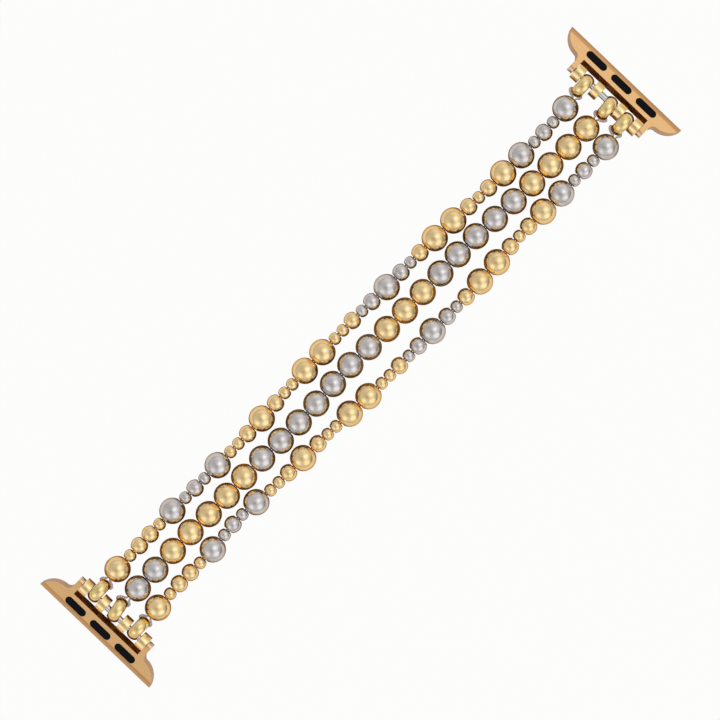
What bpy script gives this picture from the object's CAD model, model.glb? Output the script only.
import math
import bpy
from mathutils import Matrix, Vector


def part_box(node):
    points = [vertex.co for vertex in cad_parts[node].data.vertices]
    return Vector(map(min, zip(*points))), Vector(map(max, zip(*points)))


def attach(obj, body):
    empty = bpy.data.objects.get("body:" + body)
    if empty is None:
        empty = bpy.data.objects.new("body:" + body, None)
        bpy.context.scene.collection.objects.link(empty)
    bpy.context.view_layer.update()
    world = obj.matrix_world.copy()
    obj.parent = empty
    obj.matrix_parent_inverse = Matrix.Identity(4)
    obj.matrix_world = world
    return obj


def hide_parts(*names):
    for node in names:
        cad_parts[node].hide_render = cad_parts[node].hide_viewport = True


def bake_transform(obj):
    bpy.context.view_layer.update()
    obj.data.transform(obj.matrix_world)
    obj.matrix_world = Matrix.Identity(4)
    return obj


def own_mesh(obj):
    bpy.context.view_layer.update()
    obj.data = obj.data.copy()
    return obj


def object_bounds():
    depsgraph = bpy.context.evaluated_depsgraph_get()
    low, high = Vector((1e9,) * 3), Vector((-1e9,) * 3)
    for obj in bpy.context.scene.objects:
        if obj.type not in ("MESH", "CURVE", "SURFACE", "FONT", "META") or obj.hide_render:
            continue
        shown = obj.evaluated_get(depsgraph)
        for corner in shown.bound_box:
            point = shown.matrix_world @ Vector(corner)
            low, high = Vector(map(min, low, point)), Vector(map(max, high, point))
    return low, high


bl_info = {
    "name": "Stretch Watch Band",
    "version": (1, 0, 0),
    "blender": (4, 5, 0),
    "location": "View3D > Sidebar > Watch Band",
    "description": "Dresses a beaded stretch watch band: plated beads on clear elastic cord, rings, "
                   "spacers, spring bars and slide-in case adapters",
    "category": "Object",
}

import bmesh
import bpy
import numpy as np
from bpy.props import FloatProperty, FloatVectorProperty, IntProperty, PointerProperty

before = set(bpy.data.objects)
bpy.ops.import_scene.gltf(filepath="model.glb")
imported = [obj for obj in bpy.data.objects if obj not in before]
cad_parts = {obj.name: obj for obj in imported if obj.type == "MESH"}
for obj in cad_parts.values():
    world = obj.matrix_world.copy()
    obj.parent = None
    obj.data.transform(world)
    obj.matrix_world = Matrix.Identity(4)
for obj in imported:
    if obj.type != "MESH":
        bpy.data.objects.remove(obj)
CAD_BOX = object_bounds()
MM = 0.001
# Points closer than this are one point
MERGE = 0.001 * MM

# Bead sizes along each strand, from end A to end B, and the silver stretches, counted from 1
CENTRE = "L" * 26
OUTER = "LSMMSLSMSLSSMLMSSLLSSMSMLMSMLLMSMLLSMSL"
CENTRE_SILVER = ((1, 2), (8, 14), (18, 22))
OUTER_SILVER = ((6, 10), (23, 27), (35, 39))
# The last centre bead and the last outer bead of each group that moves as one
GROUP_ENDS = (
    (1, 1), (3, 4), (4, 6), (6, 9), (7, 11), (8, 12), (9, 14), (11, 17), (14, 21),
    (15, 24), (16, 25), (17, 26), (19, 29), (20, 30), (22, 33), (23, 34), (25, 37), (26, 39),
)
# How far each strand lies off its straight line, in sways, at even steps along the band
TOP_WANDER = (0.1, 0.2, 0.25, 0.05, -0.05, 0.05, 0.4, 0.5, 0.55, 0.15, 0.1, -0.25, -0.95, -1.2,
              -1.4, -1.1)
CENTRE_WANDER = (0.3, 0.4, 0.5, 0.25, 0.4, 0, 0, 0.5, 0.2, 0.05, 0.05, 0.2, -0.45, -0.9, -1.1, -1.2)
BOTTOM_WANDER = (0.5, 0.85, 0.7, 1.4, 0.5, 0.2, -0.2, -0.8, -1.1, -1.1, -1.25, -0.95, -0.45, -0.6,
                 -0.8, -0.65)
# Shares of the slack on each bar from its +Y ear on, and each ring's turn in degrees
SLACK = {"a": (1, 1, 3, 8, 10, 4, 4, 1), "b": (3, 3, 9, 30, 1, 1, 1, 1)}
RING_TURN = {"a": (0, 10, 0), "b": (0, 5, 0)}
LAST_GROUP = len(GROUP_ENDS) - 1


def length(name, about, default):
    return FloatProperty(name=name, description=about, default=default * MM, unit="LENGTH",
                         precision=5)


def colour(name, about, default):
    return FloatVectorProperty(name=name, description=about, default=default, subtype="COLOR",
                               size=3, min=0, max=1)


def fraction(name, about, default):
    return FloatProperty(name=name, description=about, default=default, min=0, max=1)


class BandBeadSettings(bpy.types.PropertyGroup):
    large: length("Large bead", "Diameter of a large bead", 6.05)
    medium: length("Medium bead", "Diameter of a medium bead", 4)
    small: length("Small bead", "Diameter of a small bead", 2.95)
    hole: length("Hole", "Diameter of the hole through a large or medium bead", 2)
    small_hole: length("Small hole", "Diameter of the hole through a small bead", 1.6)
    gap: length("Gap", "Gap between the hole rims of two beads of the centre strand", 0.15)
    least_gap: length("Least gap", "Least gap between the hole rims in an outer strand", 0.1)
    strand_gap: length("Strand gap", "Clear width between the strands", 0.55)
    sway: length("Sway", "How far a strand lies off its line where its list says 1", 1)
    rim: length("Rim", "Radius round each end of a hole", 0.09)
    around: IntProperty(name="Facets", description="Facets round a large bead", default=44, min=12)
    gold: colour("Gold", "Pale gold plating", (1.0, 0.77, 0.41))
    gold_deep: colour("Deep gold", "Gold plating round the holes and in its marks", (0.9, 0.56, 0.18))
    gold_edge: colour("Gold edge", "Tint of the gold's reflection at a grazing angle",
                      (0.72, 0.34, 0.07))
    silver: colour("Silver", "Silver plating", (0.735, 0.705, 0.7))
    silver_deep: colour("Deep silver", "Silver plating round the holes", (0.46, 0.42, 0.4))
    silver_edge: colour("Silver edge", "Tint of the silver's reflection at a grazing angle",
                        (0.6, 0.45, 0.3))
    wear: fraction("Wear", "How worn the plating is at the rims of a hole", 0.85)
    wear_reach: fraction("Wear reach", "How far out that wear goes, in hole diameters", 0.45)


class BandCordSettings(bpy.types.PropertyGroup):
    diameter: length("Cord", "Diameter of the elastic cord", 0.48)
    spacing: length("Spacing", "Distance between the two runs of a cord in a bead", 0.56)
    touch: length("Touch", "Gap between the cord and a ring", 0.03)
    inset: length("Inset", "How deep in a bead's hole the moving stretches of cord begin", 0.08)
    sides: IntProperty(name="Sides", description="Sides round a cord", default=10, min=6)
    tint: colour("Tint", "Colour of the clear elastic", (0.76, 0.66, 0.67))
    rubbed: colour("Rubbed", "Colour of the elastic where it rubs in the beads", (0.45, 0.25, 0.1))
    bare: length("Bare", "How deep in an end bead's hole the clear loop round the ring begins", 0.3)
    least_rubbed: fraction("Least rubbed", "How rubbed a stretch over a joint is in its middle", 0.35)


class BandRingSettings(bpy.types.PropertyGroup):
    diameter: length("Ring", "Outer diameter of a ring", 6.05)
    bore: length("Bore", "Inner diameter of a ring", 4.5)
    width: length("Width", "Width of a ring along the bar", 2.8)
    crown: length("Crown", "How much lower a ring's outside is at its edges", 0.6)
    edge: length("Edge", "Radius along a ring's edges", 0.22)
    spacer: length("Spacer", "Outer diameter of a spacer", 4.15)
    spacer_width: length("Spacer width", "Width of a spacer along the bar", 2.1)
    spacer_edge: length("Spacer edge", "Radius along a spacer's edges", 0.07)
    wear: fraction("Wear", "How worn a ring is in its bore", 0.7)
    wear_reach: length("Wear reach", "How far out from its bore a ring is worn", 0.5)
    spacer_wear: fraction("Spacer wear", "How worn a spacer is on its ends and in its bore", 0.4)
    gold: colour("Gold", "Polished gold of the rings", (0.98, 0.77, 0.36))
    gold_deep: colour("Deep gold", "Gold in the corners and marks of rings", (0.72, 0.36, 0.07))
    spacer_gold: colour("Spacer gold", "Polished gold of the spacers", (1.0, 0.76, 0.38))


class BandBarSettings(bpy.types.PropertyGroup):
    diameter: length("Bar", "Diameter of a spring bar's tube", 1.45)
    tip: length("Tip", "Diameter of a tip", 0.8)
    reach: length("Reach", "How far a tip reaches into its ear", 1)
    wall: length("Wall", "Wall of the tube", 0.22)
    crimp: length("Crimp", "Length of the tube's closed-in end", 0.3)
    head: length("Head", "Length of a tip's head", 0.5)
    wire: length("Wire", "Diameter of the spring's wire", 0.16)
    turns: IntProperty(name="Turns", description="Turns of the spring", default=24, min=4)
    play: length("Play", "Gap between parts that slide or turn on one another", 0.04)
    steel: colour("Steel", "Bright steel of the bars", (0.72, 0.72, 0.74))


class BandAdapterSettings(bpy.types.PropertyGroup):
    thickness: length("Thickness", "Thickness of the lug", 2.6)
    edge: length("Edge", "Radius along the lug's outer edge", 0.9)
    bar_to_edge: length("Bar to edge", "Distance from the bar to the lug's outer edge", 6.95)
    ease: length("Ease", "Radius along every other edge", 0.11)
    pad_length: length("Pad length", "Length of a pad", 5.9)
    pad_width: length("Pad width", "Width of a pad", 1.82)
    pad_pitch: length("Pad pitch", "Distance between the pads' centres", 7.75)
    pad_inset: length("Pad inset", "Distance from the outer edge to the pads' centre line", 2.27)
    pocket: length("Pocket", "Depth of a pad's pocket", 0.5)
    proud: length("Proud", "Height of a pad above the adapter", 0.1)
    pad_clear: length("Pad clearance", "Gap between a pad and its pocket's wall", 0.02)
    edge_wear: fraction("Edge wear", "How worn the satin gold is along the eased edges", 0.3)
    deep_band: length("Deep band", "Width of the deeper gold along the outer edge", 1.2)
    deep_fade: length("Deep fade", "Width over which that gold grows in", 0.15)
    satin: colour("Satin gold", "Rose-tinted satin gold of the adapters", (1.0, 0.65, 0.31))
    satin_deep: colour("Deep satin gold", "Satin gold in its grain and on worn edges",
                       (0.58, 0.3, 0.12))
    side: colour("Polished side", "Thinner, paler plating on the polished sides", (0.74, 0.6, 0.5))
    rubber: colour("Rubber", "Black of the pads", (0.0015, 0.0015, 0.0025))
    dust: colour("Dust", "Dust on the pads", (0.006, 0.006, 0.009))


class BandStageSettings(bpy.types.PropertyGroup):
    picture: length("Picture width", "Width of what the camera sees at the height of the bars", 164.2)
    pixels: IntProperty(name="Pixels", description="Width of the picture in pixels", default=720)
    centre: FloatVectorProperty(name="Centre", size=2, default=(360.75, 357.2),
                                description="Where the band's middle lies in the picture, in pixels")
    heading: FloatProperty(name="Heading", description="Angle of the band in the picture",
                           default=math.radians(46.31), subtype="ANGLE")
    height: length("Camera height", "Height of the camera above the floor", 900)
    floor: length("Floor", "Radius of the floor", 3000)
    paper: colour("Paper", "Floor under the band, in the warm light that the gold throws on it",
                  (0.43, 0.29, 0.15))
    clear: length("Clear", "Width beside the band over which the floor turns plain white", 3)
    in_metal: fraction("In metal", "How white the floor beside the band looks in its metal", 0.68)
    by_adapters: fraction("By adapters", "How much of that white goes near the adapters", 0.4)
    in_cord: fraction("In cord", "How white the floor looks through the clear cord", 0.45)
    in_picture: fraction("In picture", "How white the floor looks to the camera", 0.97)
    tent: colour("Tent", "Pale cloth of the light tent round the band", (1.0, 0.995, 0.99))
    past_floor: colour("Past the floor", "Plain grey that the camera sees past the floor",
                       (0.8, 0.8, 0.8))
    lamp: length("Lamp", "Diameter of the lamp that throws the soft shadow", 500)
    lamp_height: length("Lamp height", "Height of the lamp above the floor", 600)
    lamp_right: length("Lamp right", "How far the lamp is to the right in the picture", 120)
    lamp_down: length("Lamp down", "How far the lamp is towards the picture's lower edge", 160)
    lamp_power: FloatProperty(name="Lamp power", description="Power of the lamp in watts",
                              default=1.1)


def beads():
    return bpy.context.scene.band_beads


def cords():
    return bpy.context.scene.band_cords


def rings():
    return bpy.context.scene.band_rings


def bars():
    return bpy.context.scene.band_bars


def adapters():
    return bpy.context.scene.band_adapters


def stage():
    return bpy.context.scene.band_stage


# Shapes


def turned(points, angle):
    """Points in a plane, or in space about Z, turned by the angle: the plane rotation of x and y."""
    c, s = math.cos(angle), math.sin(angle)
    out = np.array(points, float)
    x, y = out[..., 0].copy(), out[..., 1].copy()
    out[..., 0] = x * c - y * s
    out[..., 1] = x * s + y * c
    return out


def smooth(values, at):
    """A Catmull-Rom curve through the values, at places from 0 to 1 of the list's length."""
    values = np.asarray(values, float)
    last = len(values) - 1
    t = np.clip(at, 0, 0.99999) * last
    i = np.floor(t).astype(int)
    f = t - i
    a, b, c, d = (values[np.clip(i + k, 0, last)] for k in (-1, 0, 1, 2))
    return b + f / 2 * (c - a + f * (2 * a - 5 * b + 4 * c - d + f * (3 * (b - c) + d - a)))


def arc(centre, radius, start, end, steps):
    """Points on a circle from one angle to another, evenly spaced."""
    a = np.linspace(start, end, steps)
    return np.asarray(centre, float) + radius * np.c_[np.cos(a), np.sin(a)]


def rounded(corners, radii, steps=5):
    """A closed outline whose corners are arcs: each touches both sides, so it starts at the radius
    times the tangent of half the turn before the corner and its middle lies on the bisector."""
    corners = np.asarray(corners, float)
    out = []
    for i, corner in enumerate(corners):
        before, after = corners[i - 1] - corner, corners[(i + 1) % len(corners)] - corner
        before, after = before / np.linalg.norm(before), after / np.linalg.norm(after)
        half = math.acos(np.clip(before @ after, -1, 1)) / 2
        if radii[i] <= 0 or half > math.radians(89):
            out.append(corner[None])
            continue
        middle = corner + (before + after) / np.linalg.norm(before + after) * radii[i] / math.sin(half)
        start = corner + before * radii[i] / math.tan(half) - middle
        end = corner + after * radii[i] / math.tan(half) - middle
        a = math.atan2(start[1], start[0])
        sweep = (math.atan2(end[1], end[0]) - a + math.pi) % math.tau - math.pi
        out.append(arc(middle, radii[i], a, a + sweep, steps))
    return np.concatenate(out)


def grid_faces(rows, columns, closed_rows):
    """Quads of a grid of points whose columns close, and whose rows close too where asked."""
    i, j = np.meshgrid(np.arange(rows if closed_rows else rows - 1), np.arange(columns),
                       indexing="ij")
    i, j = i.ravel(), j.ravel()
    i2, j2 = (i + 1) % rows, (j + 1) % columns
    return np.c_[i * columns + j, i * columns + j2, i2 * columns + j2, i2 * columns + j]


def turned_part(outline, around):
    """A closed outline, as distance along X and distance from X, carried round the X axis."""
    a = np.arange(around) / around * math.tau
    x = np.repeat(outline[:, :1], around, axis=1)
    points = np.stack([x, outline[:, 1:] * np.cos(a), outline[:, 1:] * np.sin(a)], axis=-1)
    return points.reshape(-1, 3), grid_faces(len(outline), around, outline[[0, -1], 1].max() > 0)


def tube(path, radius, sides, up):
    """A circle carried along a path: each ring lies in the plane of the path's normal, which is up
    less its part along the path, and of the cross product of the path's way and that normal. Each
    end closes on the path's own end point."""
    way = np.gradient(path, axis=0)
    way /= np.linalg.norm(way, axis=1)[:, None]
    up = np.broadcast_to(up, path.shape)
    normal = up - (up * way).sum(1)[:, None] * way
    normal /= np.linalg.norm(normal, axis=1)[:, None]
    side = np.cross(way, normal)
    a = np.arange(sides) / sides * math.tau
    points = (path[:, None] + radius * (np.cos(a)[None, :, None] * normal[:, None]
                                        + np.sin(a)[None, :, None] * side[:, None]))
    ends = [np.repeat(path[k][None, None], sides, axis=1) for k in (0, -1)]
    points = np.concatenate([ends[0], points, ends[1]])
    return points.reshape(-1, 3), grid_faces(len(points), sides, False)


def resampled(path, step):
    """The path with points at even distances along it."""
    along = np.r_[0, np.cumsum(np.linalg.norm(np.diff(path, axis=0), axis=1))]
    at = np.linspace(0, along[-1], max(3, int(round(along[-1] / step)) + 1))
    return np.stack([np.interp(at, along, path[:, k]) for k in range(path.shape[1])], axis=1)


def softened(path, step, passes):
    """The path resampled evenly, and then each point moved halfway to its neighbours' mean, in
    several passes, with the ends held."""
    path = resampled(path, step)
    for _ in range(passes):
        path[1:-1] = path[1:-1] / 2 + (path[:-2] + path[2:]) / 4
    return path


def joined(parts):
    """Several (points, faces, wear) as one."""
    points, faces, wear, start = [], [], [], 0
    for p, f, w in parts:
        points.append(p)
        faces.append(f + start)
        wear.append(np.broadcast_to(w, len(p)))
        start += len(p)
    return np.concatenate(points), np.concatenate(faces), np.concatenate(wear)


def shown_as(mesh, surface, sharp):
    """An object of a mesh in one material, shaded smooth between edges sharper than the angle."""
    mesh.shade_smooth()
    mesh.set_sharp_from_angle(angle=sharp)
    mesh.materials.clear()
    mesh.materials.append(surface)
    piece = bpy.data.objects.new(mesh.name, mesh)
    bpy.context.scene.collection.objects.link(piece)
    return piece


def new_piece(name, points, faces, wear, surface, slot, sharp=math.radians(40)):
    """A piece from whole arrays. Points at one place are merged, which closes the poles, and its
    wear is kept as an attribute."""
    mesh = bpy.data.meshes.new(name)
    mesh.vertices.add(len(points))
    mesh.vertices.foreach_set("co", np.asarray(points, np.float32).ravel())
    mesh.loops.add(faces.size)
    mesh.loops.foreach_set("vertex_index", faces.astype(np.int32).ravel())
    mesh.polygons.add(len(faces))
    mesh.polygons.foreach_set("loop_start", np.arange(0, faces.size, 4, dtype=np.int32))
    wear = np.broadcast_to(wear, len(points)).astype(np.float32)
    mesh.attributes.new("wear", "FLOAT", "POINT").data.foreach_set("value", wear)
    mesh.update(calc_edges=True)
    work = bmesh.new()
    work.from_mesh(mesh)
    bmesh.ops.remove_doubles(work, verts=work.verts, dist=MERGE)
    bmesh.ops.recalc_face_normals(work, faces=work.faces)
    work.to_mesh(mesh)
    work.free()
    return shown_as(mesh, surface, sharp)


# The band's layout


class Strand:
    """One strand: where its beads are, which are silver, and the line that its cord follows."""

    def __init__(self, name, number, sizes, silver, wander):
        b = beads()
        diameter = {"L": b.large, "M": b.medium, "S": b.small}
        hole = {"L": b.hole, "M": b.hole, "S": b.small_hole}
        self.name, self.number, self.wander = name, number, wander
        self.diameter = np.array([diameter[s] for s in sizes])
        self.hole = np.array([hole[s] for s in sizes])
        self.silver = [any(first <= i + 1 <= last for first, last in silver)
                       for i in range(len(sizes))]
        self.half = np.sqrt(self.diameter ** 2 - self.hole ** 2) / 2

    def least(self, gap):
        """The strand's length when its beads are this far apart."""
        return 2 * self.half.sum() + (len(self.half) - 1) * gap

    def lay(self, total):
        """Space the beads evenly over the strand's length."""
        self.length = total
        gap = (total - self.least(0)) / (len(self.half) - 1)
        self.x = np.r_[0, np.cumsum(2 * self.half + gap)[:-1]] + self.half - total / 2

    def y(self, x):
        b = beads()
        line = (1 - self.number) * (b.large + b.strand_gap)
        return line + b.sway * smooth(self.wander, np.asarray(x) / self.length + 0.5)

    def heading(self, x, step=0.5 * MM):
        return np.arctan2(self.y(x + step) - self.y(x - step), 2 * step)

    def run(self, start, end, side, step=0.7 * MM):
        """One run of the cord between two places along the band, beside the hole's middle line."""
        x = np.linspace(start, end, max(4, int(abs(end - start) / step) + 2))
        a = self.heading(x)
        off = side * cords().spacing / 2
        return np.c_[x - off * np.sin(a), self.y(x) + off * np.cos(a), np.full(len(x), bar_place().z)]

    def cut(self, bead, way):
        """Just inside the hole of a bead, at its rim on the side that way points to."""
        return self.x[bead] + way * (self.half[bead] - cords().inset)


def strands():
    """The three strands, all as long as the one that needs the most length."""
    made = [Strand("top", 0, OUTER, OUTER_SILVER, TOP_WANDER),
            Strand("centre", 1, CENTRE, CENTRE_SILVER, CENTRE_WANDER),
            Strand("bottom", 2, OUTER, OUTER_SILVER, BOTTOM_WANDER)]
    total = max(made[1].least(beads().gap), made[0].least(beads().least_gap))
    for strand in made:
        strand.lay(total)
    return made


def group_beads(group, strand):
    """The beads of one group on a strand, as the first's number and one past the last's."""
    which = 0 if strand.number == 1 else 1
    return (GROUP_ENDS[group - 1][which] if group else 0), GROUP_ENDS[group][which]


def body_of(group):
    return f"beads_{group + 1:02d}"


def bar_place():
    """The middle of bar B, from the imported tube; bar A is its mirror image."""
    low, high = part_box("bar_tube_b")
    return (low + high) / 2


def tube_length():
    low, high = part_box("bar_tube_b")
    return high.y - low.y


def at_end(points, end):
    """Points drawn at a bar, with the band towards +X, moved to their end; B is mirrored in X."""
    side = -1 if end == "a" else 1
    place = bar_place()
    return points * np.array([-side, 1, 1]) + np.array([side * place.x, 0, place.z])


def lean():
    """The adapter's lean, at which its lug's lower edge rests on the floor: the angle whose sine is
    the fall over the reach, less the angle of the edge's middle below the lug's middle."""
    a = adapters()
    run, drop = a.bar_to_edge - a.edge, a.thickness / 2 - a.edge
    return math.asin((bar_place().z - a.edge) / math.hypot(run, drop)) - math.atan(drop / run)


def leaning(points, end):
    """Points drawn on a level adapter, leaned with it about the bar and moved to their end."""
    c, s = math.cos(lean()), math.sin(lean())
    x, y, z = np.asarray(points, float).T
    return at_end(np.c_[x * c - z * s, y, x * s + z * c], end)


def on_bar_y(end, piece):
    """The middle of a piece on its bar, counted from the +Y ear, with the slack shared out."""
    r = rings()
    widths = np.array([r.spacer_width, r.width] * 3 + [r.spacer_width])
    space = tube_length() + 2 * cords().touch
    shares = np.array(SLACK[end], float)
    slack = (space - widths.sum()) * shares[:piece + 1].sum() / shares.sum()
    return space / 2 - slack - widths[:piece + 1].sum() + widths[piece] / 2


def ring_turn(end, strand):
    turn = math.radians(RING_TURN[end][strand])
    return turn if end == "a" else -turn


def ring_middle(end, strand):
    """Where a ring's middle is, from its bar: the bar lies against the ring's bore."""
    r, turn = rings(), abs(ring_turn(end, strand))
    shift = (r.bore / 2 * math.cos(turn) - r.width / 2 * math.sin(turn) - bars().diameter / 2
             - cords().touch)
    return np.array([shift, on_bar_y(end, 2 * strand + 1)])


def crown_radius():
    r = rings()
    return ((r.width / 2) ** 2 + r.crown ** 2) / (2 * r.crown)


def half_loop(start):
    """The cord round half a ring, from the ring's middle: an arc over its crown, an arc round the
    crown's edge and one round the bore's edge, each a cord's radius off."""
    r, c = rings(), cords()
    off = c.diameter / 2 + c.touch
    crown = crown_radius()
    edge = math.asin(r.width / 2 / crown)
    return np.concatenate([
        arc([r.diameter / 2 - crown, 0], crown + off, start, edge, 12),
        arc([r.diameter / 2 - r.crown, r.width / 2], off, edge, math.pi / 2, 5),
        arc([r.bore / 2, r.width / 2], off, math.pi / 2, math.pi, 7),
    ])


def ring_loop(strand, end):
    """The cord round one ring, as part.scad lays it: out of the last bead's hole on one side, round
    the ring, and back on the other side. Points lie level, from the bar, with the band towards +X."""
    r, c = rings(), cords()
    side = -1 if end == "a" else 1
    turn = ring_turn(end, strand.number)
    middle = ring_middle(end, strand.number)
    out_y = float(strand.y(side * strand.length / 2))
    gate_x = (bar_place().x - strand.length / 2 + middle[0] + r.diameter / 2) / 2
    halves = []
    for way in (side, -side):
        gate_y = out_y + way * (c.spacing + beads().hole - c.diameter) / 4
        p = turned(np.array([gate_x, gate_y]) - middle, -turn)
        start = math.atan2(way * p[1], p[0] - (r.diameter / 2 - crown_radius()))
        halves.append(half_loop(start) * [1, way])
    flat = np.concatenate([halves[0], halves[1][::-1]])
    return turned(flat, turn) + middle


# Materials


def feed(socket, value):
    """Give an input its value, or the output of another node."""
    if isinstance(value, bpy.types.NodeSocket):
        socket.id_data.links.new(value, socket)
    else:
        socket.default_value = value


def node(nodes, kind, *values, **named):
    """A shader node. Values, or other nodes' outputs, go to its inputs by order or by name. Names in
    small letters are the node's own settings."""
    made = nodes.new(kind)
    for key, value in named.items():
        if key.islower():
            setattr(made, key, value)
    for socket, value in zip(made.inputs, values):
        feed(socket, value)
    for key, value in named.items():
        if not key.islower():
            feed(made.inputs[key.replace("_", " ")], value)
    return made


def laid_out(made):
    """A material, a world or a node group whose nodes are placed in columns, each one column left
    of the nodes that it feeds."""
    tree = getattr(made, "node_tree", made)
    column = {item.name: 0 for item in tree.nodes}
    for _ in tree.nodes:
        for link in tree.links:
            left, right = link.from_node.name, link.to_node.name
            column[left] = max(column[left], column[right] + 1)
    filled = dict.fromkeys(column.values(), 0)
    for item in tree.nodes:
        at = column[item.name]
        item.location = (-240 * at, -220 * filled[at])
        filled[at] += 1
    return made


def worked(nodes, operation, *values, **settings):
    """The result of a Math node."""
    return node(nodes, "ShaderNodeMath", *values, operation=operation, **settings).outputs[0]


def ranged(nodes, value, kind="LINEAR", **inputs):
    """The result of a Map Range node."""
    made = node(nodes, "ShaderNodeMapRange", value, interpolation_type=kind, **inputs)
    return made.outputs["Result"]


def mixed(nodes, share, first, second, way="MIX"):
    """A mix of two colours."""
    made = node(nodes, "ShaderNodeMix", data_type="RGBA", blend_type=way, Factor=share)
    feed(made.inputs[6], first)
    feed(made.inputs[7], second)
    return made.outputs[2]


def noise(nodes, vector, scale, detail, roughness=0.5):
    """The value of a noise texture, whose scale is in spots to the metre."""
    return node(nodes, "ShaderNodeTexNoise", Vector=vector, Scale=scale, Detail=detail,
                Roughness=roughness).outputs["Fac"]


def attribute(nodes, name):
    return node(nodes, "ShaderNodeAttribute", attribute_name=name).outputs["Fac"]


def grouped(nodes, group, **inputs):
    """The outputs of a node group used as a node."""
    return node(nodes, "ShaderNodeGroup", node_tree=group, **inputs).outputs


def new_group(name, inputs, outputs):
    """A node group with its sockets, as its tree, its input node's outputs and its output node's
    inputs. An input is its name and default, and has no default where it is a vector or a colour."""
    group = bpy.data.node_groups.new(name, "ShaderNodeTree")
    for label, kind in inputs:
        plain = isinstance(kind, str)
        socket = group.interface.new_socket(label, in_out="INPUT",
                                            socket_type="NodeSocket" + (kind if plain else "Float"))
        if not plain:
            socket.default_value = kind
    for label, kind in outputs:
        group.interface.new_socket(label, in_out="OUTPUT", socket_type="NodeSocket" + kind)
    given = node(group.nodes, "NodeGroupInput")
    out = node(group.nodes, "NodeGroupOutput")
    return group, given.outputs, out.inputs


def marks_group():
    """Soft blotches and fine scuffs of a plated surface, as colour, roughness and height."""
    name = "Plating Marks"
    if name in bpy.data.node_groups:
        return bpy.data.node_groups[name]
    group, given, out = new_group(
        name,
        [("Vector", "Vector"), ("Colour", "Color"), ("Deep Colour", "Color"), ("Wear", 0.0),
         ("Blotch Scale", 900.0), ("Scuff Scale", 5000.0), ("Amount", 0.3), ("Smoothest", 0.1),
         ("Roughest", 0.2)],
        [("Colour", "Color"), ("Roughness", "Float"), ("Height", "Float")])
    n = group.nodes
    blotch = noise(n, given["Vector"], given["Blotch Scale"], 3.0, 0.55)
    scuff = noise(n, given["Vector"], given["Scuff Scale"], 5.0, 0.7)
    spread = ranged(n, blotch, "SMOOTHSTEP", From_Min=0.42, From_Max=0.68)
    some = worked(n, "MULTIPLY", spread, given["Amount"])
    most = worked(n, "MAXIMUM", some, given["Wear"])
    feed(out["Colour"], mixed(n, most, given["Colour"], given["Deep Colour"]))
    feed(out["Roughness"], ranged(n, scuff, From_Min=0.3, From_Max=0.7, To_Min=given["Smoothest"],
                                  To_Max=given["Roughest"]))
    feed(out["Height"], worked(n, "MULTIPLY_ADD", scuff, 0.35, blotch))
    return laid_out(group)


def grain_group():
    """Fine lines along Y on a satin surface: noise drawn out along Y, as a mask and a height."""
    name = "Satin Grain"
    if name in bpy.data.node_groups:
        return bpy.data.node_groups[name]
    group, given, out = new_group(name, [("Vector", "Vector"), ("Across", 9000.0), ("Along", 500.0)],
                                  [("Mask", "Float"), ("Height", "Float")])
    n = group.nodes
    scale = node(n, "ShaderNodeCombineXYZ", X=given["Across"], Y=given["Along"], Z=given["Across"])
    drawn = node(n, "ShaderNodeVectorMath", given["Vector"], scale.outputs[0], operation="MULTIPLY")
    lines = noise(n, drawn.outputs[0], 1.0, 4.0, 0.6)
    feed(out["Mask"], ranged(n, lines, From_Min=0.35, From_Max=0.7))
    feed(out["Height"], lines)
    return laid_out(group)


def finish(name, **values):
    """A new material, its nodes, its shader and its Object coordinates."""
    made = bpy.data.materials.new(name)
    made.use_nodes = True
    n = made.node_tree.nodes
    shader = n["Principled BSDF"]
    for key, value in values.items():
        shader.inputs[key.replace("_", " ")].default_value = value
    return made, n, shader, node(n, "ShaderNodeTexCoord").outputs["Object"]


def relief(n, shader, height, strength, depth):
    """Bumps of a depth from a height, on the shader's normal."""
    bump = node(n, "ShaderNodeBump", Strength=strength, Distance=depth, Height=height)
    feed(shader.inputs["Normal"], bump.outputs["Normal"])


def plated(name, colour, deep, edge, smoothest, roughest, amount, blotches, bump):
    """Polished plating with soft blotches, fine scuffs, deeper colour where it is worn, and a tint of
    its own in the reflection at a grazing angle."""
    if name in bpy.data.materials:
        return bpy.data.materials[name]
    made, n, shader, place = finish(name, Metallic=1.0, Specular_Tint=(*edge, 1))
    marks = grouped(n, marks_group(), Vector=place, Wear=attribute(n, "wear"), Colour=(*colour, 1),
                    Deep_Colour=(*deep, 1), Blotch_Scale=blotches, Scuff_Scale=6000.0,
                    Amount=amount, Smoothest=smoothest, Roughest=roughest)
    feed(shader.inputs["Base Color"], marks["Colour"])
    feed(shader.inputs["Roughness"], marks["Roughness"])
    relief(n, shader, marks["Height"], bump, 0.05 * MM)
    return laid_out(made)


def deep_places(n, place):
    """Where the adapters' gold is deeper, in brushed lines along Y: on the face between the ears,
    from its attribute, and in a band along the outer edge, which grows in by a smooth step."""
    split = node(n, "ShaderNodeSeparateXYZ", Vector=place)
    out = worked(n, "ABSOLUTE", split.outputs["X"])
    start = CAD_BOX[1].x - adapters().deep_band
    band = ranged(n, out, "SMOOTHSTEP", From_Min=start, From_Max=start + adapters().deep_fade)
    brushed = grouped(n, grain_group(), Vector=place, Across=3000.0, Along=30.0)
    share = ranged(n, brushed["Mask"], To_Min=0.6, To_Max=1.0)
    either = worked(n, "MAXIMUM", band, attribute(n, "recess"))
    return worked(n, "MULTIPLY", either, share)


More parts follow.
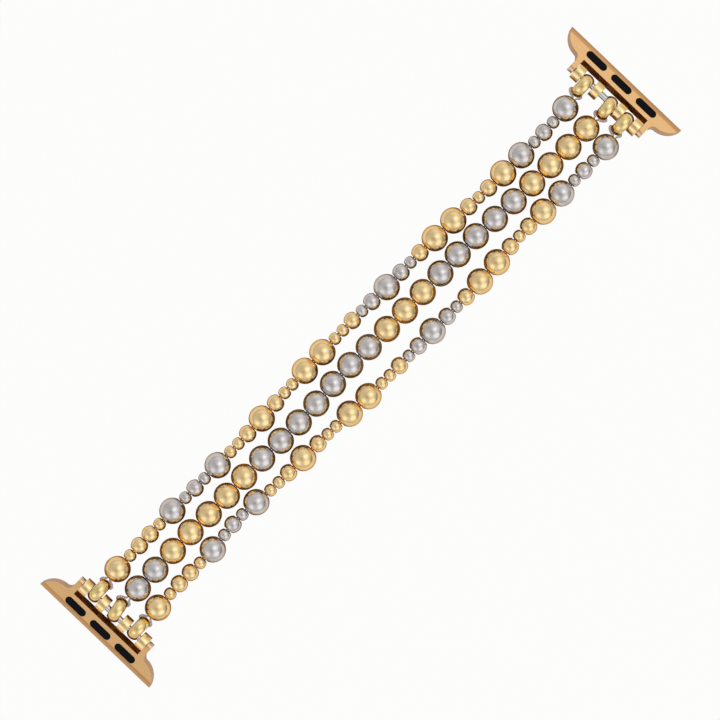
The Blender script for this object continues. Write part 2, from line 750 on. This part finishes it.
def satin():
    """Satin rose gold: fine grain along the lug, soft blotches, deeper colour on its edges, and
    smoother, paler sides."""
    name = "Satin Rose Gold"
    if name in bpy.data.materials:
        return bpy.data.materials[name]
    a = adapters()
    made, n, shader, place = finish(name, Metallic=1.0)
    deep = (*a.satin_deep, 1)
    grain = grouped(n, grain_group(), Vector=place)
    marks = grouped(n, marks_group(), Vector=place, Wear=attribute(n, "wear"),
                    Colour=(*a.satin, 1), Deep_Colour=deep, Blotch_Scale=1500.0,
                    Scuff_Scale=9000.0, Amount=0.08, Smoothest=0.34, Roughest=0.46)
    side = attribute(n, "polish")
    lines = worked(n, "MULTIPLY", grain["Mask"], 0.12)
    lined = mixed(n, lines, marks["Colour"], deep, "MULTIPLY")
    thin = worked(n, "MULTIPLY", side, 0.6)
    paler = mixed(n, thin, lined, (*a.side, 1))
    feed(shader.inputs["Base Color"], mixed(n, deep_places(n, place), paler, deep))
    rough = node(n, "ShaderNodeMix", data_type="FLOAT", Factor=side, A=marks["Roughness"], B=0.13)
    feed(shader.inputs["Roughness"], rough.outputs["Result"])
    relief(n, shader, grain["Height"], 0.35, 0.02 * MM)
    return laid_out(made)


def rubber():
    """Black rubber with a fine pebbled surface and faint dust."""
    name = "Black Rubber"
    if name in bpy.data.materials:
        return bpy.data.materials[name]
    a = adapters()
    made, n, shader, place = finish(name, Specular_IOR_Level=0.08)
    pebbles = node(n, "ShaderNodeTexVoronoi", Vector=place, Scale=4200.0)
    dust = noise(n, place, 1300.0, 4.0)
    feed(shader.inputs["Base Color"], mixed(n, dust, (*a.rubber, 1), (*a.dust, 1)))
    feed(shader.inputs["Roughness"], ranged(n, dust, To_Min=0.5, To_Max=0.75))
    relief(n, shader, pebbles.outputs["Distance"], 0.5, 0.03 * MM)
    return laid_out(made)


def elastic():
    """Clear elastic: slightly milky and uneven, and browner where it rubs in the beads."""
    name = "Clear Elastic"
    if name in bpy.data.materials:
        return bpy.data.materials[name]
    c = cords()
    made, n, shader, place = finish(name, IOR=1.42, Transmission_Weight=0.65)
    milk = noise(n, place, 2400.0, 3.0)
    clear = mixed(n, milk, (*c.tint, 1), (*(v * 0.8 for v in c.tint), 1))
    feed(shader.inputs["Base Color"], mixed(n, attribute(n, "wear"), clear, (*c.rubbed, 1)))
    feed(shader.inputs["Roughness"], ranged(n, milk, To_Min=0.1, To_Max=0.24))
    relief(n, shader, milk, 0.2, 0.03 * MM)
    return laid_out(made)


def gold_bead_finish():
    b = beads()
    return plated("Gold Bead Plating", b.gold, b.gold_deep, b.gold_edge, smoothest=0.13,
                  roughest=0.21, amount=0.35, blotches=700.0, bump=0.12)


def silver_bead_finish():
    b = beads()
    return plated("Silver Bead Plating", b.silver, b.silver_deep, b.silver_edge, smoothest=0.13,
                  roughest=0.21, amount=0.38, blotches=700.0, bump=0.12)


def ring_finish():
    r = rings()
    return plated("Polished Ring Gold", r.gold, r.gold_deep, beads().gold_edge, smoothest=0.08,
                  roughest=0.15, amount=0.3, blotches=900.0, bump=0.3)


def spacer_finish():
    r = rings()
    return plated("Polished Spacer Gold", r.spacer_gold, r.gold_deep, beads().gold_edge,
                  smoothest=0.07, roughest=0.13, amount=0.15, blotches=1200.0, bump=0.08)


def steel_finish():
    s = bars().steel
    return plated("Bright Steel", s, tuple(v * 0.55 for v in s), s, smoothest=0.14, roughest=0.24,
                  amount=0.2, blotches=1500.0, bump=0.1)


# Pieces


def bead_outline(diameter, hole, rim, steps):
    """A bead's half section, as distance along its hole and distance from it: an arc of the sphere,
    an arc of the rim's radius round each end of the hole, and the hole's straight wall."""
    reach, out = diameter / 2 - rim, hole / 2 + rim
    along = math.sqrt(reach ** 2 - out ** 2)
    tilt = math.atan2(out, along)
    ball = arc([0, 0], diameter / 2, tilt, math.pi - tilt, steps)
    near = arc([along, out], rim, -math.pi / 2, tilt, 4)[:-1]
    far = (near * [-1, 1])[::-1]
    wall = np.linspace(-along, along, 4)[1:-1]
    return np.concatenate([near, ball, far, np.c_[wall, np.full(2, hole / 2)]])


def bead_mesh(strand, i):
    """One bead of a strand, turned to the strand's heading, with wear that grows towards its hole's
    rims as the square of how near they are. Its facets go with the root of its size."""
    b, least_facets, steps_per_facet = beads(), 20, 0.55
    diameter, hole, x = strand.diameter[i], strand.hole[i], strand.x[i]
    around = max(least_facets, int(b.around * math.sqrt(diameter / b.large)))
    outline = bead_outline(diameter, hole, b.rim, int(around * steps_per_facet))
    points, faces = turned_part(outline, around)
    near = 1 - (outline[:, 1] - hole / 2) / (b.wear_reach * hole)
    wear = b.wear * np.clip(near, 0, 1) ** 2
    place = np.array([x, float(strand.y(x)), bar_place().z])
    return turned(points, float(strand.heading(x))) + place, faces, np.repeat(wear, around)


class BAND_OT_beads(bpy.types.Operator):
    """Make the beads of each group, gold and silver apart"""
    bl_idname = "band.beads"
    bl_label = "Beads"

    def execute(self, context):
        all_strands = strands()
        for group in range(LAST_GROUP + 1):
            for silver, word in ((False, "gold"), (True, "silver")):
                parts = [bead_mesh(s, i) for s in all_strands
                         for i in range(*group_beads(group, s)) if s.silver[i] == silver]
                if not parts:
                    continue
                surface = silver_bead_finish() if silver else gold_bead_finish()
                piece = new_piece(f"{word}_beads_{group + 1:02d}", *joined(parts), surface,
                                  f"{word}_bead", math.radians(60))
                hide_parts(f"{body_of(group)}_{word}")
                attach(piece, body_of(group))
        return {"FINISHED"}


def cord_tube(path, rubbed=1.0):
    """A run of cord, with how far each place on its path is rubbed."""
    c = cords()
    points, faces = tube(path, c.diameter / 2, c.sides, np.array([0, 0, 1.0]))
    along = np.broadcast_to(rubbed, len(path))
    return points, faces, np.repeat(np.r_[along[0], along, along[-1]], c.sides)


class BAND_OT_cords(bpy.types.Operator):
    """Make the cords: a still stretch in each group, one over each joint, and the loops"""
    bl_idname = "band.cords"
    bl_label = "Cords"

    def loop(self, strand, end):
        """The cord from inside the end group's last bead, round the ring and back."""
        if end == "a":
            side, bead = -1, group_beads(0, strand)[1] - 1
        else:
            side, bead = 1, group_beads(LAST_GROUP, strand)[0]
        start, out = strand.cut(bead, -side), side * (strand.length / 2 - cords().bare)
        level = ring_loop(strand, end)
        around = at_end(np.c_[level, np.zeros(len(level))], end)
        there, back = (strand.run(start, out, way) for way in (side, -side))
        path = np.concatenate([there, around, back[::-1]])
        return softened(path, step=0.12 * MM, passes=4)

    def in_group(self, group, strand):
        """A strand's cord in a group: two still runs, or the loop at an end of the band, which is
        rubbed only inside its beads."""
        if group in (0, LAST_GROUP):
            path = self.loop(strand, "a" if group == 0 else "b")
            return [cord_tube(path, np.abs(path[:, 0]) < strand.length / 2 - cords().bare)]
        first, end = group_beads(group, strand)
        start, stop = strand.cut(first, -1), strand.cut(end - 1, 1)
        return [cord_tube(strand.run(start, stop, side)) for side in (-1, 1)]

    def over_joint(self, group, strand, surface):
        """The two runs between a group and the next, which stretch and bend with both. They are
        rubbed at both rims and clearer in the middle, by the square of the cosine."""
        least = cords().least_rubbed
        end = group_beads(group, strand)[1]
        start, stop = strand.cut(end - 1, 1), strand.cut(end, -1)
        runs = []
        for side in (-1, 1):
            path = strand.run(start, stop, side, step=0.03 * MM)
            near = np.cos(np.linspace(0, math.pi, len(path))) ** 2
            runs.append(cord_tube(path, least + (1 - least) * near))
        piece = new_piece(f"cord_{strand.name}_gap_{group + 1:02d}", *joined(runs), surface, "cord")
        ends = [(x, float(strand.y(x)), bar_place().z) for x in (start, stop)]
        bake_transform(piece)

    def execute(self, context):
        surface = elastic()
        all_strands = strands()
        for group in range(LAST_GROUP + 1):
            parts = [part for strand in all_strands for part in self.in_group(group, strand)]
            piece = new_piece(f"cord_in_group_{group + 1:02d}", *joined(parts), surface, "cord")
            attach(piece, body_of(group))
            if group == LAST_GROUP // 2:
                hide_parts("cord_top", "cord_centre", "cord_bottom")
            if group < LAST_GROUP:
                for strand in all_strands:
                    self.over_joint(group, strand, surface)
        return {"FINISHED"}


def ring_outline():
    """A ring's section: an arc over its crown, rounded edges, flat sides and a straight bore."""
    r = rings()
    crown = crown_radius()
    edge = math.asin(r.width / 2 / crown)
    over = arc([0, r.diameter / 2 - crown], crown, math.pi / 2 - edge, math.pi / 2 + edge, 15)
    bore = np.array([[-r.width / 2, r.bore / 2], [r.width / 2, r.bore / 2]])
    corners = np.concatenate([over[:1], over[2:-2], over[-1:], bore])
    radii = [r.edge] + [0.0] * (len(over) - 4) + [r.edge, r.edge * 0.4, r.edge * 0.4]
    return rounded(corners, radii, 6)


def along_bar(points, y=0.0):
    """Points drawn about X, laid along the bar's Y."""
    return np.c_[-points[:, 1], points[:, 0] + y, points[:, 2]]


class BAND_OT_rings(bpy.types.Operator):
    """Make the three rings at each end"""
    bl_idname = "band.rings"
    bl_label = "Rings"

    def execute(self, context):
        r, around = rings(), 72
        outline = ring_outline()
        points, faces = turned_part(outline, around)
        near = np.clip(1 - (outline[:, 1] - r.bore / 2) / r.wear_reach, 0, 1)
        wear = np.repeat(r.wear * near, around)
        for end in "ab":
            parts = []
            for strand in range(3):
                placed = turned(along_bar(points), ring_turn(end, strand))
                parts.append((at_end(placed + [*ring_middle(end, strand), 0], end), faces, wear))
            piece = new_piece(f"rings_on_bar_{end}", *joined(parts), ring_finish(), "ring")
            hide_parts(f"rings_{end}")
            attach(piece, body_of(0 if end == "a" else LAST_GROUP))
        return {"FINISHED"}


class BAND_OT_spacers(bpy.types.Operator):
    """Make the four spacers on each bar"""
    bl_idname = "band.spacers"
    bl_label = "Spacers"

    def execute(self, context):
        r, around = rings(), 64
        half, outer = r.spacer_width / 2, r.spacer / 2
        bore = bars().diameter / 2 + bars().play
        outline = rounded([[-half, bore], [half, bore], [half, outer], [-half, outer]],
                          [r.spacer_edge / 2] * 2 + [r.spacer_edge] * 2, 4)
        points, faces = turned_part(outline, around)
        on_end, in_bore = np.abs(outline[:, 0]) > half * 0.98, outline[:, 1] < outer * 0.6
        wear = np.repeat(r.spacer_wear * on_end + r.spacer_wear * in_bore, around)
        for end in "ab":
            for n in range(4):
                placed = at_end(along_bar(points, on_bar_y(end, 2 * n)), end)
                piece = new_piece(f"spacer_{end}{n + 1}_turned", placed, faces, wear,
                                  spacer_finish(), "spacer")
                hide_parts(f"spacer_{end}{n + 1}")
                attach(piece, f"spacer_{end}{n + 1}")
        return {"FINISHED"}


class BAND_OT_spring_bars(bpy.types.Operator):
    """Make each spring bar: its tube, two tips and the coiled spring between them, whose halves
    shorten as their tips go in"""
    bl_idname = "band.spring_bars"
    bl_label = "Spring bars"

    def tube_part(self):
        """The tube's section: rolled shoulders, a closed-in end round each tip and a wide bore."""
        b = bars()
        end, hole = tube_length() / 2, b.tip / 2 + b.play
        out, bore = b.diameter / 2, b.diameter / 2 - b.wall
        mouth = 0.82 * out
        half = [[end - b.crimp, bore], [end - b.crimp, hole], [end, hole], [end, mouth],
                [end - b.crimp, out]]
        radii = [0.05, 0, 0.03, 0.12, 0.3]
        corners = half + [[-x, y] for x, y in half[::-1]]
        return rounded(corners, np.array(radii + radii[::-1]) * MM, 5)

    def tip_part(self):
        """A tip's section from its round point to its head, drawn with the point towards +X."""
        b = bars()
        head = tube_length() / 2 - b.crimp - cords().touch
        point = tube_length() / 2 + cords().touch + b.reach
        wide = b.diameter / 2 - b.wall - b.play
        corners = [[point, 0], [point, b.tip / 2], [head, b.tip / 2], [head, wide],
                   [head - b.head, wide], [head - b.head, 0]]
        return rounded(corners, np.array([0, 0.25, 0.04, 0.06, 0.06, 0]) * MM, 6)

    def spring_reach(self):
        """How far the spring reaches from the bar's middle, to just short of a tip's head."""
        b = bars()
        return tube_length() / 2 - b.crimp - 2 * cords().touch - b.head - b.wire

    def spring_half(self):
        """Half of the spring, from the bar's middle: a helix along X whose angle grows evenly. Its
        distance is 1.25 times its share of the turns less a quarter of that share's cube, so its
        turns are closer towards the tip."""
        b = bars()
        radius = b.diameter / 2 - b.wall - 1.5 * b.play - b.wire / 2
        t = np.linspace(0, 1, b.turns * 8)
        x = self.spring_reach() * (1.25 * t - t ** 3 / 4)
        a = t * b.turns * math.pi
        out = np.c_[np.zeros(len(t)), np.cos(a), np.sin(a)]
        return tube(np.c_[x, radius * out[:, 1:]], b.wire / 2, 6, out)

    def part(self, name, end, points, faces, replaced, body):
        """A steel part of one bar, drawn about X."""
        placed = at_end(along_bar(points), end)
        piece = new_piece(f"spring_bar_{name}", placed, faces, 0, steel_finish(), "spring_bar")
        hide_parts(replaced)
        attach(piece, body)
        return piece

    def execute(self, context):
        hollow = turned_part(self.tube_part(), 40)
        tip, tip_faces = turned_part(self.tip_part(), 24)
        spring, spring_faces = self.spring_half()
        for end in "ab":
            still = f"adapter_{end}"
            self.part(f"tube_{end}", end, *hollow, f"bar_tube_{end}", still)
            for n, way in ((1, 1), (2, -1)):
                piece = self.part(f"spring_{end}{n}", end, spring * [way, 1, way], spring_faces,
                                  f"bar_spring_{end}", still)
                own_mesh(piece)
                self.part(f"tip_{end}{n}", end, tip * [way, 1, 1], tip_faces, f"bar_tip_{end}{n}",
                          f"bar_tip_{end}{n}")
        return {"FINISHED"}


class BAND_OT_adapters(bpy.types.Operator):
    """Make the case adapters with eased edges"""
    bl_idname = "band.adapters"
    bl_label = "Case adapters"

    def ease(self, work):
        """Round the sharp edges: loose triangles are merged, flat faces are joined, and a bevel runs
        along each sharp edge, a little worn."""
        flat, sharp_from = math.radians(0.5), math.radians(30)
        worn = work.verts.layers.float.new("wear")
        bmesh.ops.remove_doubles(work, verts=work.verts, dist=MERGE)
        bmesh.ops.dissolve_limit(work, angle_limit=flat, verts=work.verts, edges=work.edges,
                                 use_dissolve_boundaries=False)
        sharp = [e for e in work.edges if e.is_manifold and e.calc_face_angle() > sharp_from]
        cut = bmesh.ops.bevel(work, geom=sharp, offset=adapters().ease, offset_type="OFFSET",
                              segments=3, profile=0.5, affect="EDGES", clamp_overlap=True)
        for vertex in cut["verts"]:
            vertex[worn] = adapters().edge_wear

    def mark(self, work, end):
        """Mark how far each face is polished, and which are in the recess. A face is polished where
        it turns away from upright: a smooth step of the cosine between them. It is in the recess
        where it faces inwards between the ears, and is brushed there, with less of the polish."""
        steep, rise, inwards, brushed = 0.75, 0.2, 0.7, 0.75
        bar, above, beyond = leaning([[0, 0, 0], [0, 0, 1], [1, 0, 0]], end)
        polish = work.faces.layers.float.new("polish")
        recess = work.faces.layers.float.new("recess")
        for face in work.faces:
            flat = min(max((abs(face.normal.dot(above - bar)) - steep) / rise, 0), 1)
            between = abs(face.calc_center_median().y) < tube_length() / 2
            face[recess] = float(between and face.normal.dot(beyond - bar) > inwards)
            face[polish] = (1 - flat * flat * (3 - 2 * flat)) * (1 - brushed * face[recess])

    def execute(self, context):
        for end in "ab":
            work = bmesh.new()
            work.from_mesh(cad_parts[f"adapter_{end}"].data)
            self.ease(work)
            self.mark(work, end)
            mesh = bpy.data.meshes.new(f"case_adapter_{end}")
            work.to_mesh(mesh)
            work.free()
            piece = shown_as(mesh, satin(), math.radians(35))
            piece.modifiers.new("Even Shading", "WEIGHTED_NORMAL").keep_sharp = True
            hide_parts(f"adapter_{end}")
            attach(piece, f"adapter_{end}")
        return {"FINISHED"}


class BAND_OT_pads(bpy.types.Operator):
    """Make the rubber pads let into the adapters"""
    bl_idname = "band.pads"
    bl_label = "Pads"

    def pad(self):
        """A pill carried up through its height: a half circle at each end of a straight stretch,
        drawn in along a rounded shoulder and a low dome towards its middle line."""
        a = adapters()
        radius = a.pad_width / 2 - a.pad_clear
        straight = (a.pad_length - a.pad_width) / 2
        base, top = a.thickness / 2 - a.pocket, a.thickness / 2 + a.proud
        edge, dome = 0.16 * MM, 0.04 * MM
        shoulder = arc([radius - edge, top - dome - edge], edge, 0, math.pi / 2, 6)
        inner = np.linspace(radius - edge, 0, 8)[1:]
        crown = top - dome * (inner / (radius - edge)) ** 2
        section = np.concatenate([[[0, base], [radius, base]], shoulder, np.c_[inner, crown]])
        each = 17
        ends = np.concatenate([arc([0, 0], 1, start, start + math.pi, each) for start in (0, math.pi)])
        reach, height = section[:, :1], section[:, 1:]
        x = reach * ends[:, 0]
        y = reach * ends[:, 1] + np.repeat([straight, -straight], each)
        z = np.repeat(height, 2 * each, axis=1)
        return np.stack([x, y, z], axis=-1).reshape(-1, 3), grid_faces(len(section), 2 * each, False)

    def execute(self, context):
        a = adapters()
        points, faces = self.pad()
        for end in "ab":
            parts = []
            for n in (-1, 0, 1):
                middle = [a.pad_inset - a.bar_to_edge, n * a.pad_pitch, 0]
                parts.append((leaning(points + middle, end), faces, 0))
            piece = new_piece(f"rubber_pads_{end}", *joined(parts), rubber(), "pad")
            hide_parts(f"pads_{end}")
            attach(piece, f"adapter_{end}")
        return {"FINISHED"}


class BAND_OT_stage(bpy.types.Operator):
    """Make the floor, the light tent, the lamp and the camera"""
    bl_idname = "band.stage"
    bl_label = "Stage"

    def beside_band(self, n):
        """How far a place on the floor is beside the band, from 0 under it to the metal's share of
        white: the largest of three smooth steps. One goes along the band past its ends, one across
        it past the adapters, and one across it past the strands, less a lower step near the
        adapters."""
        b, s, high = beads(), stage(), CAD_BOX[1]
        place = node(n, "ShaderNodeTexCoord").outputs["Object"]
        split = node(n, "ShaderNodeSeparateXYZ", Vector=place)
        far = {axis: worked(n, "ABSOLUTE", split.outputs[axis]) for axis in "XY"}

        def past(axis, reach, most=s.in_metal):
            return ranged(n, far[axis], "SMOOTHSTEP", From_Min=reach, From_Max=reach + s.clear,
                          To_Max=most)

        near_adapters = past("X", bar_place().x - adapters().bar_to_edge - s.clear, s.by_adapters)
        past_strands = past("Y", 1.5 * b.large + b.strand_gap)
        most = worked(n, "SUBTRACT", past_strands, near_adapters, use_clamp=True)
        for axis, reach in (("X", high.x), ("Y", high.y)):
            most = worked(n, "MAXIMUM", most, past(axis, reach))
        return most

    def show(self, n, output, share, *shaders):
        """Show a mix of two shaders."""
        mix = node(n, "ShaderNodeMixShader", share, *(shader.outputs[0] for shader in shaders))
        node(n, output, Surface=mix.outputs[0])

    def floor(self):
        """A pale disc that shows white behind the object and keeps the object's shadow."""
        s, sides = stage(), 64
        rim = arc([0, 0], s.floor, 0, math.tau, sides + 1)[:-1]
        mesh = bpy.data.meshes.new("floor")
        mesh.from_pydata([(0, 0, 0), *((x, y, 0) for x, y in rim.tolist())], [],
                         [(0, k + 1, (k + 1) % sides + 1) for k in range(sides)])
        floor = bpy.data.objects.new("floor", mesh)
        bpy.context.scene.collection.objects.link(floor)
        made = bpy.data.materials.new("Pale Floor")
        made.use_nodes = True
        n = made.node_tree.nodes
        n.clear()
        paper = node(n, "ShaderNodeBsdfDiffuse", Color=(*s.paper, 1))
        white = node(n, "ShaderNodeEmission", Color=(1, 1, 1, 1), Strength=1.0)
        seen = node(n, "ShaderNodeLightPath").outputs
        total = worked(n, "MULTIPLY", seen["Is Glossy Ray"], self.beside_band(n))
        for ray, most in (("Is Transmission Ray", s.in_cord), ("Is Camera Ray", s.in_picture)):
            total = worked(n, "MULTIPLY_ADD", seen[ray], most, total)
        self.show(n, "ShaderNodeOutputMaterial", total, paper, white)
        mesh.materials.append(laid_out(made))

    def tent(self, right, up):
        """The light tent as a world: a grey that grows with height, with brighter and darker panels
        in chosen directions, each a smooth step of the cosine to its middle. The camera sees a plain
        grey in its place past the floor."""
        world = bpy.data.worlds.new("Light Tent")
        world.use_nodes = True
        n = world.node_tree.nodes
        n.clear()
        way = node(n, "ShaderNodeTexCoord").outputs["Generated"]
        split = node(n, "ShaderNodeSeparateXYZ", Vector=way)
        level = node(n, "ShaderNodeValToRGB", Fac=split.outputs["Z"])
        ramp = level.color_ramp.elements
        for at, grey in ((0.08, 0.48), (0.22, 0.62), (0.5, 0.7), (0.8, 0.67)):
            ramp.new(at).color = (grey, grey, grey, 1)
        for at, grey in ((0, 0.36), (-1, 0.6)):
            ramp[at].color = (grey, grey, grey, 1)
        total = level.outputs["Color"]
        # Each panel's angle in the picture, its angle from overhead, its two radii and its gain
        panels = (
            (25, 24, 8, 34, 0.33), (30, 24, 3, 13, 0.38), (-50, 54, 8, 32, 0.46),
            (-135, 64, 6, 26, 0.34), (80, 76, 8, 34, 0.16), (-145, 20, 4, 26, -0.13),
            (-134, 7, 1, 6.5, -0.25), (150, 50, 10, 36, -0.1), (-5, 86, 10, 34, -0.24),
            (46, 38, 8, 28, 0.14), (-134, 42, 6, 20, 0.1),
        )
        for around, down, inner, outer, gain in panels:
            around, down = math.radians(around), math.radians(down)
            flat = math.sin(down) * (math.cos(around) * right + math.sin(around) * up)
            facing = node(n, "ShaderNodeVectorMath", way, (*flat, math.cos(down)),
                          operation="DOT_PRODUCT").outputs["Value"]
            glow = ranged(n, facing, "SMOOTHSTEP", From_Min=math.cos(math.radians(outer)),
                          From_Max=math.cos(math.radians(inner)), To_Max=gain)
            total = mixed(n, 1.0, total, glow, "ADD")
        tinted = mixed(n, 1.0, total, (*stage().tent, 1), "MULTIPLY")
        cloth = node(n, "ShaderNodeBackground", Color=tinted)
        plain = node(n, "ShaderNodeBackground", Color=(*stage().past_floor, 1))
        seen = node(n, "ShaderNodeLightPath").outputs["Is Camera Ray"]
        self.show(n, "ShaderNodeOutputWorld", seen, cloth, plain)
        bpy.context.scene.world = laid_out(world)

    def camera(self, right, up):
        """A camera that looks straight down, turned so that the band heads up and to the right, and
        placed so that the band's middle falls on its own pixel."""
        s = stage()
        data = bpy.data.cameras.new("camera")
        data.sensor_width = 36
        data.lens = data.sensor_width * (s.height - bar_place().z) / s.picture
        data.clip_start, data.clip_end = 0.01, 10
        camera = bpy.data.objects.new("camera", data)
        bpy.context.scene.collection.objects.link(camera)
        size = s.picture / s.pixels
        low, high = CAD_BOX
        middle = np.array([(low.x + high.x) / 2, (low.y + high.y) / 2])
        off = (s.centre[0] - s.pixels / 2) * right - (s.centre[1] - s.pixels / 2) * up
        camera.location = (*(middle - off * size), s.height)
        camera.rotation_euler = (0, 0, -s.heading)
        bpy.context.scene.camera = camera

    def lamp(self, right, up):
        """A round soft lamp over the band, for the shadow."""
        s = stage()
        data = bpy.data.lights.new("overhead", "AREA")
        data.shape = "DISK"
        data.size = s.lamp
        data.energy = s.lamp_power
        lamp = bpy.data.objects.new("overhead", data)
        bpy.context.scene.collection.objects.link(lamp)
        lamp.location = (*(s.lamp_right * right - s.lamp_down * up), s.lamp_height)
        lamp.visible_camera = False
        lamp.visible_glossy = False

    def execute(self, context):
        angle = stage().heading
        right = np.array([math.cos(angle), -math.sin(angle)])
        up = np.array([math.sin(angle), math.cos(angle)])
        self.floor()
        self.tent(right, up)
        self.camera(right, up)
        self.lamp(right, up)
        context.scene.view_settings.view_transform = "Standard"
        return {"FINISHED"}


class BAND_PT_panel(bpy.types.Panel):
    """Steps that make the watch band"""
    bl_idname = "BAND_PT_panel"
    bl_label = "Watch Band"
    bl_space_type = "VIEW_3D"
    bl_region_type = "UI"
    bl_category = "Watch Band"

    def draw(self, context):
        for operator in OPERATORS:
            self.layout.operator(operator.bl_idname)


SETTINGS = (
    ("band_beads", BandBeadSettings), ("band_cords", BandCordSettings),
    ("band_rings", BandRingSettings), ("band_bars", BandBarSettings),
    ("band_adapters", BandAdapterSettings), ("band_stage", BandStageSettings),
)
OPERATORS = (
    BAND_OT_stage, BAND_OT_beads, BAND_OT_cords, BAND_OT_rings, BAND_OT_spacers,
    BAND_OT_spring_bars, BAND_OT_adapters, BAND_OT_pads,
)


def register():
    for name, group in SETTINGS:
        bpy.utils.register_class(group)
        setattr(bpy.types.Scene, name, PointerProperty(type=group))
    for made in (*OPERATORS, BAND_PT_panel):
        bpy.utils.register_class(made)


def unregister():
    for made in (BAND_PT_panel, *reversed(OPERATORS)):
        bpy.utils.unregister_class(made)
    for name, group in reversed(SETTINGS):
        delattr(bpy.types.Scene, name)
        bpy.utils.unregister_class(group)


def main():
    register()
    for operator in OPERATORS:
        family, step = operator.bl_idname.split(".")
        getattr(getattr(bpy.ops, family), step)()


if __name__ == "__main__":
    main()
